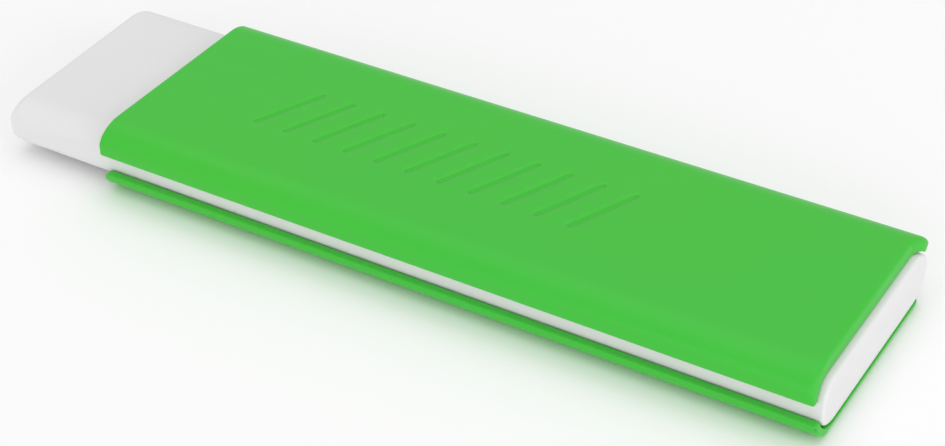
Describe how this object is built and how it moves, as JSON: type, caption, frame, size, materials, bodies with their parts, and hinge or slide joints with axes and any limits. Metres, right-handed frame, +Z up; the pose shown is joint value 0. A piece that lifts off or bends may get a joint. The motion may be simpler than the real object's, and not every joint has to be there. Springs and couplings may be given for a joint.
{
  "type": "vinyl eraser in a plastic sleeve",
  "caption": "Flat white vinyl eraser block that slides in a thin green plastic sleeve, open along one edge and at both ends.",
  "frame": {"origin": "middle of the sleeve's flat underside", "axes": "+X along the block towards the sleeve's back end, so the working end points to -X; the sleeve's open slot is on the -Y side; +Z up"},
  "size_m": [0.118, 0.033, 0.0096],
  "materials": {
    "green_sleeve": "satin",
    "white_vinyl": "matte"
  },
  "bodies": {
    "sleeve": {"sleeve": "green_sleeve"},
    "block": {"eraser": "white_vinyl"}
  },
  "joints": [
    {"name": "block_slide", "type": "slide", "parent": "sleeve", "child": "block", "axis": [-1, 0, 0], "range_m": [-0.015, 0.08]}
  ]
}
